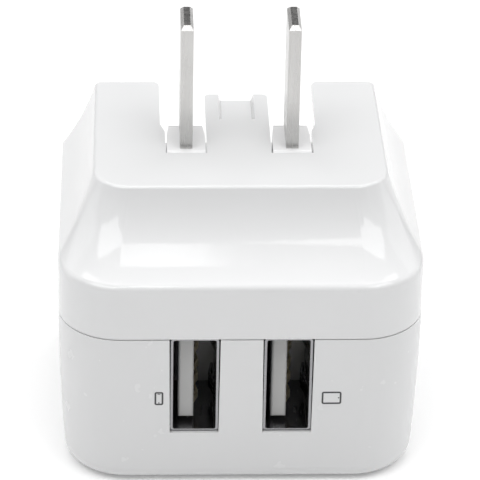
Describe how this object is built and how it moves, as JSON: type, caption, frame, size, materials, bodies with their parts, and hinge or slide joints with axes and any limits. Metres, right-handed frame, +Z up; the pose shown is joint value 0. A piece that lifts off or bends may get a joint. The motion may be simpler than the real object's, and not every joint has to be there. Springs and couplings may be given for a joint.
{
  "type": "usb wall charger",
  "caption": "White mains wall charger with flat plug blades that fold flat on a hinge into slots, and USB-A charging ports side by side in one face.",
  "frame": {"origin": "middle of the underside of the case, the face that points away from the wall socket", "axes": "+X to the right seen from the ports, +Y from the port face to the straight back, +Z up along the deployed blades"},
  "size_m": [0.0434, 0.0354, 0.052],
  "materials": {
    "gloss_white_plastic": "polished",
    "satin_white_plastic": "satin",
    "carrier_plastic": "satin",
    "nickel_plate": "satin nickel plate",
    "port_steel": "bright nickel plate",
    "tongue_plastic": "moulded",
    "gold_plate": "gold flash",
    "retainer_plastic": "moulded",
    "zinc_plate": "zinc plate",
    "spring_bronze": "rolled",
    "spring_steel": "rolled",
    "black_wire": "extruded",
    "white_wire": "extruded",
    "board_green": "solder mask",
    "ferrite": "sintered",
    "bobbin_plastic": "moulded",
    "yellow_tape": "taped",
    "enamelled_copper": "enamelled",
    "black_sleeve": "shrink sleeve",
    "green_sleeve": "shrink sleeve",
    "resistor_lacquer": "lacquered",
    "film_lacquer": "dipped",
    "disc_lacquer": "dipped",
    "chip_black": "moulded",
    "spreader_aluminium": "mill",
    "thick_film": "glazed",
    "ceramic_tan": "fired",
    "insulation_film": "film"
  },
  "bodies": {
    "case": {"upper_shell": "gloss_white_plastic", "lower_shell": "satin_white_plastic", "left_usb_shell": "port_steel", "right_usb_shell": "port_steel", "left_usb_insulator": "tongue_plastic", "right_usb_insulator": "tongue_plastic", "left_usb_contacts": "gold_plate", "right_usb_contacts": "gold_plate", "carrier_retainer": "retainer_plastic", "retainer_screws": "zinc_plate", "left_contact_spring": "spring_bronze", "right_contact_spring": "spring_bronze", "detent_spring": "spring_steel", "live_wire": "black_wire", "neutral_wire": "white_wire", "main_board": "board_green", "transformer_core": "ferrite", "choke_core": "ferrite", "transformer_bobbin": "bobbin_plastic", "transformer_winding": "yellow_tape", "choke_winding": "enamelled_copper", "front_bulk_capacitor": "black_sleeve", "rear_bulk_capacitor": "black_sleeve", "front_output_capacitor": "green_sleeve", "rear_output_capacitor": "green_sleeve", "fuse_resistor": "resistor_lacquer", "clamp_capacitor": "film_lacquer", "y_capacitor": "disc_lacquer", "bridge_rectifier": "chip_black", "power_switch_chip": "chip_black", "optocoupler": "chip_black", "port_controller_chip": "chip_black", "output_diode": "chip_black", "heat_spreader": "spreader_aluminium", "chip_resistors": "thick_film", "chip_capacitors": "ceramic_tan", "insulation_sheet": "insulation_film"},
    "prongs": {"prong_carrier": "carrier_plastic", "left_blade": "nickel_plate", "right_blade": "nickel_plate"}
  },
  "joints": [
    {"name": "prong_fold", "type": "hinge", "parent": "case", "child": "prongs", "pos_m": [0, 0.00145, 0.0332], "axis": [-1, 0, 0], "range_deg": [0, 90]}
  ]
}
